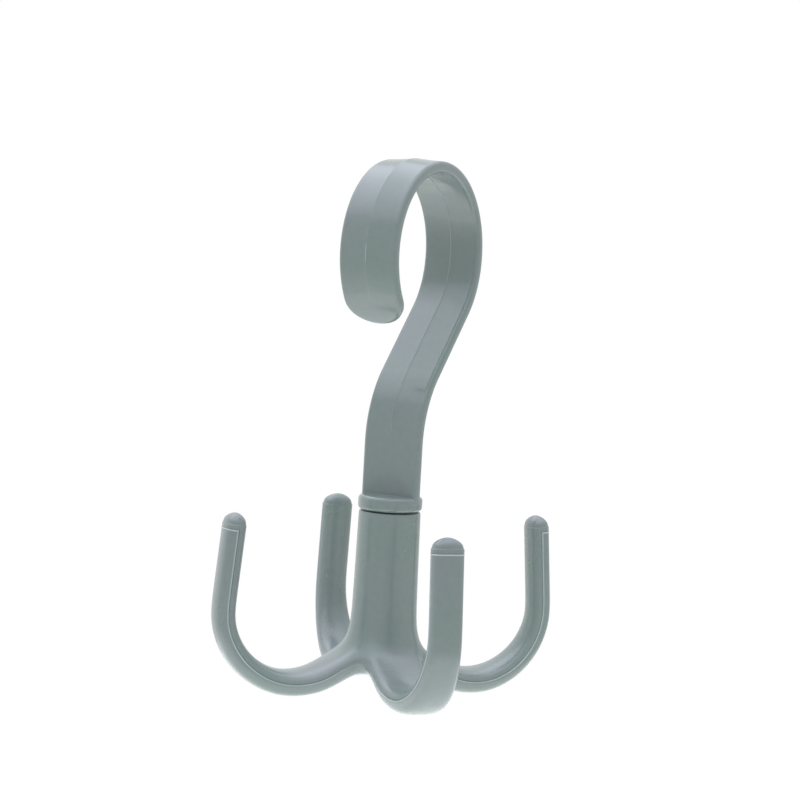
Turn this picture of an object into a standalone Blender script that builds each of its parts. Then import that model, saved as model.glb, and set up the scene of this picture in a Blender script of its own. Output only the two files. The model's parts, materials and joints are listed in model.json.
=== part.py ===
"""Rotating four-claw hanger: a question-mark hook whose split spigot snaps into a claw body's socket."""

import math

import bmesh
import bpy
from mathutils import Matrix, Vector

# Section of the hook's band, in metres as all lengths here
BAND_WIDTH = 0.0222
BAND_THICKNESS = 0.0040
BAND_EDGE_RADIUS = 0.0016
BAND_VALLEY = 0.0003
# Path of the band up from the collar: stem, neck bend, neck, and the eye that ends in a round nose
STEM_LENGTH = 0.0180
NECK_BEND_RADIUS = 0.0364
NECK_LEAN = math.radians(41.7)
NECK_LENGTH = 0.0295
EYE_RADIUS = 0.0303
TIP_ANGLE = math.radians(50.7)
NOSE_LENGTH = 0.0097
# Collar at the stem's foot, just wider than the band
COLLAR_MARGIN = 0.0001
COLLAR_HEIGHT = 0.0051
COLLAR_EDGE_RADIUS = 0.0015
STEM_FILLET = 0.0014
# Split spigot under the collar, with a barb round its end
SPIGOT_RADIUS = 0.0065
BARB_REACH = 0.0014
BARB_LIP = 0.0008
BARB_LENGTH = 0.0052
BARB_LEAD_IN = 0.0012
SLOT_WIDTH = 0.0034
SLOT_LENGTH = 0.0220
# Clearances of the swivel
RIM_GAP = 0.0004
RADIAL_CLEARANCE = 0.0003
AXIAL_CLEARANCE = 0.0003
RECESS_CLEARANCE = 0.0010
# Socket tube of the claw body: its rim stands back under the collar, and it spreads a little to its foot
RIM_SETBACK = 0.0004
SOCKET_SPREAD = 0.0005
SOCKET_LENGTH = 0.0360
SOCKET_EDGE = 0.0011
BORE_CHAMFER = 0.0006
# Hub under the tube: a flare, then the roots of the arms with a crotch between each two
FLARE_STEP = 0.0006
FLARE_LENGTH = 0.0063
ROOT_STEP = 0.0031
ROOT_WIDTH = 0.0197
ROOT_DROP = 0.0074
ROOT_HEIGHT = 0.0108
CROTCH_DROP = 0.0054
CROTCH_HEIGHT = 0.0078
FLOOR_DROP = 0.0010
HUB_WALL = 0.0016
# How far the barb stays up inside the hub's floor
BARB_SETBACK = 0.0035
# Arms, each a U that leaves the hub downwards and leans back in to its domed tip
ARM_COUNT = 4
ROOT_RUN = 0.0066
ARM_DROP = 0.0106
ARM_BEND_RADIUS = 0.0258
ARM_ROOT_BEND_RADIUS = 0.0243
ARM_DESCENT = math.radians(27)
ARM_LEAN = math.radians(4.9)
ARM_WIDTH = 0.0113
ARM_THICKNESS = 0.0077
ARM_ROOT_THICKNESS = 0.0090
TIP_DEPTH = 0.0017
DOME_HEIGHT = 0.0045
# How far up its outer bend an arm goes on narrowing
TAPER_TURN = math.radians(95)
# Angle by which the claws stand turned from the hook's plane
CLAW_TURN = math.radians(49.5)
# Fineness of the round surfaces, and the overrun of every cut
TURNED_STEPS = 48
EYE_STEP = math.radians(7.5)
EDGE_STEPS = 3
BEND_STEPS = 8
CUT_OVERRUN = 0.002
# Points of a turned piece closer than this share of the radial clearance become one
MERGE_SHARE = 0.01

# Radii that follow from the sizes, out from the swivel's axis
BORE_RADIUS = SPIGOT_RADIUS + RADIAL_CLEARANCE
BARB_RADIUS = SPIGOT_RADIUS + BARB_REACH
RECESS_RADIUS = BARB_RADIUS + RECESS_CLEARANCE
COLLAR_RADIUS = BAND_WIDTH / 2 + COLLAR_MARGIN
SOCKET_RIM_RADIUS = COLLAR_RADIUS - RIM_SETBACK
SOCKET_FOOT_RADIUS = SOCKET_RIM_RADIUS + SOCKET_SPREAD
FLARE_RADIUS = SOCKET_FOOT_RADIUS + FLARE_STEP
HUB_FLOOR_RADIUS = RECESS_RADIUS + HUB_WALL
ROOT_REACH = FLARE_RADIUS + ROOT_STEP
BEND_REACH = ROOT_REACH + ROOT_RUN + ARM_ROOT_BEND_RADIUS * math.sin(ARM_DESCENT)
ROOT_BEND_LENGTH = ARM_ROOT_BEND_RADIUS * ARM_DESCENT
TAPER_LENGTH = ROOT_RUN + ROOT_BEND_LENGTH + ARM_BEND_RADIUS * TAPER_TURN
# Heights and depths that follow, up and down from the socket's rim
COLLAR_TOP = RIM_GAP + COLLAR_HEIGHT
STEM_TOP = COLLAR_TOP + STEM_LENGTH
FLARE_DEPTH = SOCKET_LENGTH + FLARE_LENGTH
ROOT_TOP_DEPTH = FLARE_DEPTH + ROOT_DROP
SOLE_DEPTH = ROOT_TOP_DEPTH + ROOT_HEIGHT
ARM_DEPTH = ROOT_TOP_DEPTH + ARM_DROP
CROTCH_DEPTH = FLARE_DEPTH + CROTCH_DROP
HUB_DEPTH = CROTCH_DEPTH + CROTCH_HEIGHT + FLOOR_DROP
BARB_END_DEPTH = HUB_DEPTH - BARB_SETBACK
CATCH_DEPTH = BARB_END_DEPTH - BARB_LENGTH
SHOULDER_DEPTH = CATCH_DEPTH - AXIAL_CLEARANCE
# Places in the hook's plane: the neck bend's centre, the neck's foot, the eye's centre, the rod's seat
NECK_BEND_CENTRE = Vector((NECK_BEND_RADIUS, 0, STEM_TOP))
NECK_UP = Vector((math.sin(NECK_LEAN), 0, math.cos(NECK_LEAN)))
NECK_LEFT = Vector((-math.cos(NECK_LEAN), 0, math.sin(NECK_LEAN)))
NECK_FOOT = NECK_BEND_CENTRE + NECK_BEND_RADIUS * NECK_LEFT
EYE_CENTRE = NECK_FOOT + NECK_LENGTH * NECK_UP + EYE_RADIUS * NECK_LEFT
ROD_SEAT = EYE_CENTRE + Vector((0, 0, EYE_RADIUS - BAND_THICKNESS / 2))
# The rod's seat under the eye's crown is the part's origin
RIM_PLACE = -ROD_SEAT


def clear_scene():
    for thing in list(bpy.data.objects):
        bpy.data.objects.remove(thing, do_unlink=True)


def plastic(name, colour, roughness):
    material = bpy.data.materials.new(name)
    material.use_nodes = True
    shader = material.node_tree.nodes["Principled BSDF"]
    shader.inputs["Base Color"].default_value = (*colour, 1)
    shader.inputs["Roughness"].default_value = roughness
    shader.inputs["Metallic"].default_value = 0
    return material


def add_object(name, bm, axis, material=None):
    """Makes an object of the mesh, carried by the empty on the swivel's axis."""
    bmesh.ops.recalc_face_normals(bm, faces=bm.faces)
    mesh = bpy.data.meshes.new(name)
    bm.to_mesh(mesh)
    bm.free()
    mesh.shade_smooth()
    mesh.set_sharp_from_angle(angle=math.radians(35))
    thing = bpy.data.objects.new(name, mesh)
    bpy.context.scene.collection.objects.link(thing)
    thing.parent = axis
    if material:
        mesh.materials.append(material)
    return thing


def boolean(thing, tool, operation):
    """Cuts the tool from the thing or joins it on, and keeps the tool as a wire guide."""
    tool.hide_render = True
    tool.display_type = "WIRE"
    modifier = thing.modifiers.new(tool.name, "BOOLEAN")
    modifier.operation = operation
    modifier.object = tool
    modifier.solver = "EXACT"


def arc(centre, radius, start, end, steps):
    """Points of an arc in a plane, both ends included."""
    angles = [start + (end - start) * i / steps for i in range(steps + 1)]
    return [(centre[0] + radius * math.cos(a), centre[1] + radius * math.sin(a)) for a in angles]


def skin(bm, near, far):
    """Joins two closed rings of as many vertices by a band of faces."""
    for i in range(len(near)):
        j = (i + 1) % len(near)
        bm.faces.new((near[i], near[j], far[j], far[i]))


def turned(name, profile, axis, material=None):
    """Spins a profile of (radius, height) points, which starts and ends on the axis, into a solid."""
    bm = bmesh.new()
    points = [bm.verts.new((radius, 0, height)) for radius, height in profile]
    edges = [bm.edges.new(pair) for pair in zip(points, points[1:])]
    bmesh.ops.spin(
        bm,
        geom=points + edges,
        cent=(0, 0, 0),
        axis=(0, 0, 1),
        angle=math.tau,
        steps=TURNED_STEPS,
        use_merge=True,
    )
    bmesh.ops.remove_doubles(bm, verts=bm.verts, dist=MERGE_SHARE * RADIAL_CLEARANCE)
    return add_object(name, bm, axis, material)


# Hook: one moulding of the band, the collar and the split spigot

# Most of a section's width or thickness that one of its edge roundings may take
EDGE_LIMIT_SHARE = 0.45
# Share of the flat outer face's half width over which the valley deepens by its second half
VALLEY_SHARE = 1 / 3
# Places of the nose's sections, as shares of its quarter turn
NOSE_SHARES = (0.2, 0.4, 0.58, 0.72, 0.84, 0.93, 0.98)


def band_section(width, thickness, edge_radius):
    """Section of the band as (across, inward) points, rounded at its edges, with a shallow outer valley."""
    edge = min(edge_radius, EDGE_LIMIT_SHARE * width, EDGE_LIMIT_SHARE * thickness)
    across = width / 2 - edge
    inward = thickness / 2 - edge
    valley = BAND_VALLEY * width / BAND_WIDTH
    quarter = math.pi / 2
    outer_right = arc((across, -inward), edge, -quarter, 0, EDGE_STEPS)
    inner_right = arc((across, inward), edge, 0, quarter, EDGE_STEPS)
    inner_left = arc((-across, inward), edge, quarter, 2 * quarter, EDGE_STEPS)
    outer_left = arc((-across, -inward), edge, 2 * quarter, 3 * quarter, EDGE_STEPS)
    flank = VALLEY_SHARE * across
    half_deep = (valley - thickness) / 2
    outer_face = [(-flank, half_deep), (0, valley - thickness / 2), (flank, half_deep)]
    return outer_right + inner_right + [(0, thickness / 2)] + inner_left + outer_left + outer_face


def band_ring(bm, place, heading, width=BAND_WIDTH, thickness=BAND_THICKNESS, edge=BAND_EDGE_RADIUS):
    """Sets the band's section square to a heading, which is an angle up from the hook's +X."""
    inward = Vector((-math.sin(heading), 0, math.cos(heading)))
    across = Vector((0, 1, 0))
    section = band_section(width, thickness, edge)
    return [bm.verts.new(place + a * across + n * inward) for a, n in section]


def stem_rings(bm):
    """The stem stands on the collar with a small fillet on each face."""
    places = [(COLLAR_TOP - COLLAR_HEIGHT / 2, STEM_FILLET)]
    for i in range(EDGE_STEPS + 1):
        turn = math.pi / 2 * i / EDGE_STEPS
        rise = STEM_FILLET * (1 - math.cos(turn))
        places.append((COLLAR_TOP + rise, STEM_FILLET * (1 - math.sin(turn))))
    places.append((STEM_TOP, 0))
    rings = []
    for height, spread in places:
        thickness = BAND_THICKNESS + 2 * spread
        edge_radius = BAND_EDGE_RADIUS + spread
        place = Vector((0, 0, height))
        rings.append(band_ring(bm, place, math.pi / 2, BAND_WIDTH, thickness, edge_radius))
    return rings


def neck_rings(bm):
    """The neck bends back from the stem and runs on straight to the eye."""
    rings = []
    steps = round(NECK_LEAN / EYE_STEP)
    for i in range(1, steps + 1):
        lean = NECK_LEAN * i / steps
        place = NECK_BEND_CENTRE + NECK_BEND_RADIUS * Vector((-math.cos(lean), 0, math.sin(lean)))
        rings.append(band_ring(bm, place, math.pi / 2 - lean))
    rings.append(band_ring(bm, NECK_FOOT + NECK_LENGTH * NECK_UP, math.pi / 2 - NECK_LEAN))
    return rings


def eye_place(angle):
    return EYE_CENTRE + EYE_RADIUS * Vector((math.cos(angle), 0, math.sin(angle)))


def eye_rings(bm):
    """The eye runs round from the neck to its nose, and the nose is half an ellipse in plan."""
    rings = []
    nose_angle = math.pi + TIP_ANGLE - NOSE_LENGTH / EYE_RADIUS
    steps = round((nose_angle + NECK_LEAN) / EYE_STEP)
    for i in range(1, steps + 1):
        angle = -NECK_LEAN + (nose_angle + NECK_LEAN) * i / steps
        rings.append(band_ring(bm, eye_place(angle), angle + math.pi / 2))
    for share in NOSE_SHARES:
        turn = share * math.pi / 2
        left = NOSE_LENGTH * (1 - math.sin(turn))
        angle = math.pi + TIP_ANGLE - left / EYE_RADIUS
        inset = max(0, BAND_EDGE_RADIUS - left)
        thinned = BAND_THICKNESS - 2 * (BAND_EDGE_RADIUS - math.sqrt(BAND_EDGE_RADIUS**2 - inset**2))
        width = BAND_WIDTH * math.cos(turn)
        rings.append(band_ring(bm, eye_place(angle), angle + math.pi / 2, width, thinned))
    return rings


def build_spigot(axis):
    """Collar, spigot and barb, spun from one profile that runs down the outer side."""
    edge = COLLAR_EDGE_RADIUS
    shoulder = COLLAR_RADIUS - edge
    profile = [(0, COLLAR_TOP)]
    profile += arc((shoulder, COLLAR_TOP - edge), edge, math.pi / 2, 0, EDGE_STEPS + 1)
    profile += arc((shoulder, RIM_GAP + edge), edge, 0, -math.pi / 2, EDGE_STEPS + 1)
    profile += [
        (SPIGOT_RADIUS, RIM_GAP),
        (SPIGOT_RADIUS, -CATCH_DEPTH),
        (BARB_RADIUS, -CATCH_DEPTH),
        (BARB_RADIUS, -CATCH_DEPTH - BARB_LIP),
        (SPIGOT_RADIUS - BARB_LEAD_IN, -BARB_END_DEPTH),
        (0, -BARB_END_DEPTH),
    ]
    return turned("collar_and_spigot", profile, axis)


def build_slot(axis):
    """Slot that parts the spigot into two sprung legs, with a round top."""
    half = SLOT_WIDTH / 2
    crown = SLOT_LENGTH - BARB_END_DEPTH - half
    foot = -BARB_END_DEPTH - CUT_OVERRUN
    outline = arc((0, crown), half, 0, math.pi, 2 * EDGE_STEPS) + [(-half, foot), (half, foot)]
    reach = BARB_RADIUS + CUT_OVERRUN
    bm = bmesh.new()
    face = bm.faces.new([bm.verts.new((across, -reach, height)) for across, height in outline])
    grown = bmesh.ops.extrude_face_region(bm, geom=[face])["geom"]
    moved = [g for g in grown if isinstance(g, bmesh.types.BMVert)]
    bmesh.ops.translate(bm, vec=(0, 2 * reach, 0), verts=moved)
    return add_object("spigot_slot", bm, axis)


def build_hook(axis, material):
    bm = bmesh.new()
    rings = stem_rings(bm) + neck_rings(bm) + eye_rings(bm)
    for near, far in zip(rings, rings[1:]):
        skin(bm, near, far)
    bm.faces.new(rings[0])
    bm.faces.new(rings[-1])
    hook = add_object("hook", bm, axis, material)
    boolean(hook, build_spigot(axis), "UNION")
    boolean(hook, build_slot(axis), "DIFFERENCE")
    return hook


# Claw body: one moulding of the socket tube, the hub and four arms, smoothed from one cage

# A cage ring has three points for each arm: its middle and its two sides
COLUMNS = 3 * ARM_COUNT
# Fullness of an arm's section: how far its cage stands out, as shares of half the size
SIDE_SHARE = 1.05
INNER_CORNER_SHARE = 0.84
OUTER_CORNER_SHARE = 0.90
# Corners of the hub's three root rings, as shares of the root's reach and width
CROWN_REACH_SHARE = 0.81
CROWN_WIDTH_SHARE = 0.87
SIDE_REACH_SHARE = 0.92
SOLE_MIDDLE_SHARE = 0.90
SOLE_REACH_SHARE = 0.79
SOLE_WIDTH_SHARE = 0.92
# Sections of an arm: down its descent from the hub, up its leg, and of its dome as (rise, spread)
DESCENT_SHARES = (1, 0.5)
LEG_SHARES = (0.34, 0.67, 1)
DOME_SHARES = ((0.66, 0.90), (1, 0.48))


def cage_radius(radius):
    """Radius of the cage ring whose smoothed surface reaches the given radius."""
    return radius * 3 / (2 + math.cos(math.tau / COLUMNS))


def round_ring(bm, radius, height):
    grown = cage_radius(radius)
    angles = [math.tau * i / COLUMNS for i in range(COLUMNS)]
    return [bm.verts.new((grown * math.cos(angle), grown * math.sin(angle), height)) for angle in angles]


def root_ring(bm, middle, side):
    """Ring of the hub where the arms start: each arm's middle and left side, then the next one's right side."""
    reach, width, height = side
    ring = []
    for i in range(ARM_COUNT):
        turn = Matrix.Rotation(math.tau * i / ARM_COUNT, 4, "Z")
        onward = Matrix.Rotation(math.tau * (i + 1) / ARM_COUNT, 4, "Z")
        ring.append(bm.verts.new(turn @ Vector((middle[0], 0, middle[1]))) if middle else None)
        ring.append(bm.verts.new(turn @ Vector((reach, width / 2, height))))
        ring.append(bm.verts.new(onward @ Vector((reach, -width / 2, height))))
    return ring


def arm_stations():
    """Centre line of an arm from beside the hub to its tip: (reach, height, heading, length from the root)."""
    stations = []
    for share in DESCENT_SHARES:
        angle = ARM_DESCENT * share
        reach = BEND_REACH - ARM_ROOT_BEND_RADIUS * math.sin(angle)
        height = -ARM_DEPTH + ARM_ROOT_BEND_RADIUS * (1 - math.cos(angle))
        stations.append((reach, height, -angle, ROOT_RUN + ROOT_BEND_LENGTH * (1 - share)))
    sweep = math.pi / 2 + ARM_LEAN
    grown = ARM_BEND_RADIUS * 3 / (2 + math.cos(sweep / BEND_STEPS))
    for i in range(BEND_STEPS + 1):
        angle = sweep * i / BEND_STEPS
        radius = ARM_BEND_RADIUS if i in (0, BEND_STEPS) else grown
        reach = BEND_REACH + radius * math.sin(angle)
        height = ARM_BEND_RADIUS - ARM_DEPTH - radius * math.cos(angle)
        stations.append((reach, height, angle, ROOT_RUN + ROOT_BEND_LENGTH + ARM_BEND_RADIUS * angle))
    reach, height, angle, length = stations[-1]
    leg = (-TIP_DEPTH - DOME_HEIGHT - height) / math.cos(ARM_LEAN)
    for share in LEG_SHARES:
        rise = leg * share
        place = (reach - rise * math.sin(ARM_LEAN), height + rise * math.cos(ARM_LEAN))
        stations.append((*place, angle, length + rise))
    return stations


def arm_ring(bm, turn, reach, height, heading, width, thickness):
    """Ring of eight cage points round an arm, from its inner side round by its left side."""
    inward = Vector((-math.sin(heading), 0, math.cos(heading)))
    across = Vector((0, 1, 0))
    centre = Vector((reach, 0, height))
    corners = (
        (0, SIDE_SHARE),
        (INNER_CORNER_SHARE, INNER_CORNER_SHARE),
        (SIDE_SHARE, 0),
        (OUTER_CORNER_SHARE, -OUTER_CORNER_SHARE),
        (0, -SIDE_SHARE),
        (-OUTER_CORNER_SHARE, -OUTER_CORNER_SHARE),
        (-SIDE_SHARE, 0),
        (-INNER_CORNER_SHARE, INNER_CORNER_SHARE),
    )
    points = [centre + a * width / 2 * across + n * thickness / 2 * inward for a, n in corners]
    return [bm.verts.new(turn @ point) for point in points]


def add_arm(bm, index, crown, side, sole):
    """Grows one arm out of the opening that the hub's three root rings leave for it."""
    turn = Matrix.Rotation(math.tau * index / ARM_COUNT, 4, "Z")
    middle = 3 * index
    left = middle + 1
    right = middle - 1
    left_side = [crown[left], side[left], sole[left]]
    right_side = [sole[right], side[right], crown[right]]
    near = [crown[middle], *left_side, sole[middle], *right_side]
    for reach, height, heading, length in arm_stations():
        left = max(0, 1 - length / TAPER_LENGTH)
        taper = left**2 * (3 - 2 * left)
        width = ARM_WIDTH + (ROOT_WIDTH - ARM_WIDTH) * taper
        thickness = ARM_THICKNESS + (ARM_ROOT_THICKNESS - ARM_THICKNESS) * taper
        far = arm_ring(bm, turn, reach, height, heading, width, thickness)
        skin(bm, near, far)
        near = far
    for rise, spread in DOME_SHARES:
        along = rise * DOME_HEIGHT
        place = (reach - along * math.sin(ARM_LEAN), height + along * math.cos(ARM_LEAN))
        far = arm_ring(bm, turn, *place, heading, ARM_WIDTH * spread, ARM_THICKNESS * spread)
        skin(bm, near, far)
        near = far
    bm.faces.new(near)


def build_bore(axis):
    """Bore for the spigot, opening under its shoulder into the recess that the barb snaps out into."""
    mouth_radius = BORE_RADIUS + BORE_CHAMFER + CUT_OVERRUN
    profile = [
        (0, CUT_OVERRUN),
        (mouth_radius, CUT_OVERRUN),
        (BORE_RADIUS, -BORE_CHAMFER),
        (BORE_RADIUS, -SHOULDER_DEPTH),
        (RECESS_RADIUS, -SHOULDER_DEPTH),
        (RECESS_RADIUS, -HUB_DEPTH - CUT_OVERRUN),
        (0, -HUB_DEPTH - CUT_OVERRUN),
    ]
    return turned("bore_and_recess", profile, axis)


def build_claw_body(axis, material):
    bm = bmesh.new()
    middle_radius = (SOCKET_RIM_RADIUS + SOCKET_FOOT_RADIUS) / 2
    rings = [
        round_ring(bm, SOCKET_RIM_RADIUS - SOCKET_EDGE, 0),
        round_ring(bm, SOCKET_RIM_RADIUS, 0),
        round_ring(bm, SOCKET_RIM_RADIUS, -SOCKET_EDGE),
        round_ring(bm, middle_radius, -SOCKET_LENGTH / 2),
        round_ring(bm, SOCKET_FOOT_RADIUS, -SOCKET_LENGTH),
        round_ring(bm, FLARE_RADIUS, -FLARE_DEPTH),
    ]
    bm.faces.new(rings[0])
    for near, far in zip(rings, rings[1:]):
        skin(bm, near, far)
    crown = root_ring(
        bm,
        (ROOT_REACH, -ROOT_TOP_DEPTH),
        (CROWN_REACH_SHARE * ROOT_REACH, CROWN_WIDTH_SHARE * ROOT_WIDTH, -CROTCH_DEPTH),
    )
    side = root_ring(
        bm,
        None,
        (SIDE_REACH_SHARE * ROOT_REACH, ROOT_WIDTH, -CROTCH_DEPTH - CROTCH_HEIGHT / 2),
    )
    sole = root_ring(
        bm,
        (SOLE_MIDDLE_SHARE * ROOT_REACH, -SOLE_DEPTH),
        (SOLE_REACH_SHARE * ROOT_REACH, SOLE_WIDTH_SHARE * ROOT_WIDTH, -CROTCH_DEPTH - CROTCH_HEIGHT),
    )
    skin(bm, rings[-1], crown)
    for i in range(ARM_COUNT):
        left = 3 * i + 1
        right = 3 * i + 2
        bm.faces.new((crown[left], crown[right], side[right], side[left]))
        bm.faces.new((side[left], side[right], sole[right], sole[left]))
    floor = round_ring(bm, HUB_FLOOR_RADIUS, -HUB_DEPTH)
    middle_floor = round_ring(bm, HUB_FLOOR_RADIUS / 2, -HUB_DEPTH)
    skin(bm, sole, floor)
    skin(bm, floor, middle_floor)
    bm.faces.new(middle_floor)
    for i in range(ARM_COUNT):
        add_arm(bm, i, crown, side, sole)
    body = add_object("claw_body", bm, axis, material)
    smooth = body.modifiers.new("smooth_cage", "SUBSURF")
    smooth.levels = 1
    smooth.render_levels = 1
    boolean(body, build_bore(axis), "DIFFERENCE")
    return body


def build():
    clear_scene()
    axis = bpy.data.objects.new("swivel_axis", None)
    bpy.context.scene.collection.objects.link(axis)
    axis.location = RIM_PLACE
    claw_axis = bpy.data.objects.new("claw_turn", None)
    bpy.context.scene.collection.objects.link(claw_axis)
    claw_axis.parent = axis
    claw_axis.rotation_euler.z = CLAW_TURN
    sage = plastic("sage_polypropylene", (0.27, 0.34, 0.33), 0.38)
    build_hook(axis, sage)
    build_claw_body(claw_axis, sage)


build()
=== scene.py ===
"""Looks of a rotating claw hanger: a moulded hook, and a claw body that turns under its collar."""

import json
import math

import bpy
from mathutils import Matrix, Vector

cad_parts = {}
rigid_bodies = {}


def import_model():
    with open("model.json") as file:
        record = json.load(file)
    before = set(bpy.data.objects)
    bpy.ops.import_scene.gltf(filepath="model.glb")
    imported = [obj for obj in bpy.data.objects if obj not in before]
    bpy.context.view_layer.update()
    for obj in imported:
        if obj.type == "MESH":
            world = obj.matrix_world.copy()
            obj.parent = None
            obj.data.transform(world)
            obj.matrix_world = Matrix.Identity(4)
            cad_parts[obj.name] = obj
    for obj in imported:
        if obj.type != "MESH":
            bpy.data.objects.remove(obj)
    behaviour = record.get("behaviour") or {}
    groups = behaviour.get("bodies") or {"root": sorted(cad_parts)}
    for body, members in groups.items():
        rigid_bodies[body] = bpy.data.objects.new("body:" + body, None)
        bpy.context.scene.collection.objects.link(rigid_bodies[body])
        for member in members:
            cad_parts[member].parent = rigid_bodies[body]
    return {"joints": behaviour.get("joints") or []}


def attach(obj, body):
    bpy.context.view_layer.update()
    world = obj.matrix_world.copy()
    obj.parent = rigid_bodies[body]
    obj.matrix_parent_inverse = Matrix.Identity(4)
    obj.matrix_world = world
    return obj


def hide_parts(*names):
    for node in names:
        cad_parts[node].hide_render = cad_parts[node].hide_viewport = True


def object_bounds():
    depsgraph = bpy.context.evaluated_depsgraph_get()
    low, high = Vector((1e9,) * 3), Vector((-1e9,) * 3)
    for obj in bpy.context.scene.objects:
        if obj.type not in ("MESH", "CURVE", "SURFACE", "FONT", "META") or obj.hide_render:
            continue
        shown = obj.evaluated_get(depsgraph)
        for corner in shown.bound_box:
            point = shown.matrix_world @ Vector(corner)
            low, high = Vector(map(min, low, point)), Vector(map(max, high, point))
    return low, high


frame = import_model()
cad_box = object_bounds()

# Hook. One moulding of sage polypropylene: a wide band that is bent into an open eye with a round nose,
# on a round collar. The split spigot under the collar snaps into the claw body and carries it.
MM = 0.001
BAND_WIDTH = 22.2 * MM
BAND_THICKNESS = 4.0 * MM
BAND_EDGE_RADIUS = 1.6 * MM
BAND_EDGE_SEGMENTS = 7
OUTER_RIDGE = 0.6 * MM
OUTER_RIDGE_POWER = 1.3
OUTER_BEAD = 0.05 * MM
OUTER_FADE = 20.0 * MM
# How strongly the middle line is lightened as a painted highlight: outside here, inside the eye below
OUTER_HIGHLIGHT = 0.12
INNER_RIDGE = 0.4 * MM
INNER_BEAD = 0.2 * MM
INNER_FADE = 10.0 * MM
INNER_HIGHLIGHT = 0.8
BEAD_SHARE = 0.02
ROW_SHARES = (0.08, 0.2, 0.34, 0.5, 0.68, 0.84)
# A short painted glint on the outer middle line: where it starts round the eye, and how long it is
GLINT_START = math.radians(-4)
GLINT_LENGTH = 5.6 * MM
STEM_LENGTH = 18.0 * MM
STEM_FILLET = 0.15 * MM
STEM_FILLET_STEPS = 6
NECK_BEND_RADIUS = 36.4 * MM
NECK_LEAN = math.radians(41.7)
NECK_LENGTH = 29.5 * MM
EYE_RADIUS = 30.3 * MM
TIP_ANGLE = math.radians(50.7)
NOSE_LENGTH = 9.7 * MM
NOSE_POINTS = 72
COLLAR_RADIUS = 11.2 * MM
COLLAR_HEIGHT = 5.1 * MM
COLLAR_EDGE_RADIUS = 1.5 * MM
COLLAR_EDGE_SEGMENTS = 8
COLLAR_SIDES = 96
COLLAR_GAP = 0.4 * MM
SPIGOT_RADIUS = 6.5 * MM
BARB_RADIUS = 7.9 * MM
BARB_LIP = 0.8 * MM
BARB_LENGTH = 5.2 * MM
BARB_LEAD_IN = 1.2 * MM
BARB_END_DEPTH = 53.0 * MM
SLOT_WIDTH = 3.4 * MM
SLOT_LENGTH = 22.0 * MM
SLOT_END_RADIUS = 1.666 * MM
SLOT_END_SEGMENTS = 8
TURN_STEP = math.radians(2)
HOOK_CREASE = math.radians(30)
NEAR = 0.01 * MM
NEAR_STATION = 0.2 * MM

swivel = next(joint for joint in frame["joints"] if joint["name"] == "swivel")
rim = Vector(swivel["pos_m"])
collar_top = rim.z + COLLAR_GAP + COLLAR_HEIGHT
collar_middle = collar_top - COLLAR_HEIGHT / 2


def start_piece(name):
    """Names the primitive that was just added and opens it for editing, with nothing selected."""
    piece = bpy.context.object
    piece.name = name
    piece.data.name = name
    bpy.ops.object.transform_apply(location=True, rotation=True, scale=True)
    bpy.ops.object.mode_set(mode="EDIT")
    bpy.ops.mesh.select_all(action="DESELECT")
    return piece


def pick(piece, kind, test):
    """Selects the vertices, edges or faces whose middle passes a test."""
    bpy.ops.mesh.select_mode(type=kind)
    bpy.ops.mesh.select_all(action="DESELECT")
    bpy.ops.object.mode_set(mode="OBJECT")
    mesh = piece.data
    for part in {"VERT": mesh.vertices, "EDGE": mesh.edges, "FACE": mesh.polygons}[kind]:
        if kind == "VERT":
            place = part.co
        elif kind == "EDGE":
            place = (mesh.vertices[part.vertices[0]].co + mesh.vertices[part.vertices[1]].co) / 2
        else:
            place = part.center
        part.select = test(place)
    bpy.ops.object.mode_set(mode="EDIT")


def push(x=0, y=0, z=0):
    """Extrudes the selection and moves what is new."""
    bpy.ops.mesh.extrude_region_move(TRANSFORM_OT_translate={"value": (x, y, z)})


def scale_about(centre, x=1, y=1, z=1):
    """Scales the selection about a place."""
    bpy.ops.transform.resize(value=(x, y, z), center_override=centre)


def apply_modifier(piece, name, kind, **settings):
    """Adds a modifier with its settings and applies it at once."""
    modifier = piece.modifiers.new(name, kind)
    for setting, value in settings.items():
        setattr(modifier, setting, value)
    bpy.context.view_layer.objects.active = piece
    bpy.ops.object.modifier_apply(modifier=name)


# The band is cut flat along X, its outline is closed round the nose, and its rim is rounded
eye_length = EYE_RADIUS * (math.pi + TIP_ANGLE + NECK_LEAN)
stem_length = STEM_LENGTH + collar_top - collar_middle
neck_bend_length = NECK_BEND_RADIUS * NECK_LEAN
eye_start = stem_length + neck_bend_length + NECK_LENGTH
band_length = eye_start + eye_length
nose_start = band_length - NOSE_LENGTH
bpy.ops.object.select_all(action="DESELECT")
bpy.ops.mesh.primitive_circle_add(
    vertices=2 * NOSE_POINTS,
    radius=BAND_WIDTH / 2,
    location=(nose_start, 0, 0),
)
hook = start_piece("hook_moulding")
pick(hook, "VERT", lambda place: place.x < nose_start - NEAR)
bpy.ops.mesh.delete(type="VERT")
bpy.ops.mesh.select_all(action="SELECT")
scale_about((nose_start, 0, 0), x=NOSE_LENGTH / (BAND_WIDTH / 2))
pick(hook, "VERT", lambda place: place.x < nose_start + NEAR)
push(x=-nose_start)
bpy.ops.mesh.select_all(action="SELECT")
bpy.ops.mesh.edge_face_add()
bpy.ops.transform.translate(value=(0, 0, -BAND_THICKNESS / 2))
push(z=BAND_THICKNESS)
bpy.ops.mesh.select_all(action="SELECT")
bpy.ops.mesh.normals_make_consistent(inside=False)
pick(hook, "EDGE", lambda place: abs(place.z) > BAND_THICKNESS / 4 and place.x > NEAR)
bpy.ops.mesh.bevel(offset=BAND_EDGE_RADIUS, segments=BAND_EDGE_SEGMENTS, affect="EDGES")

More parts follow.
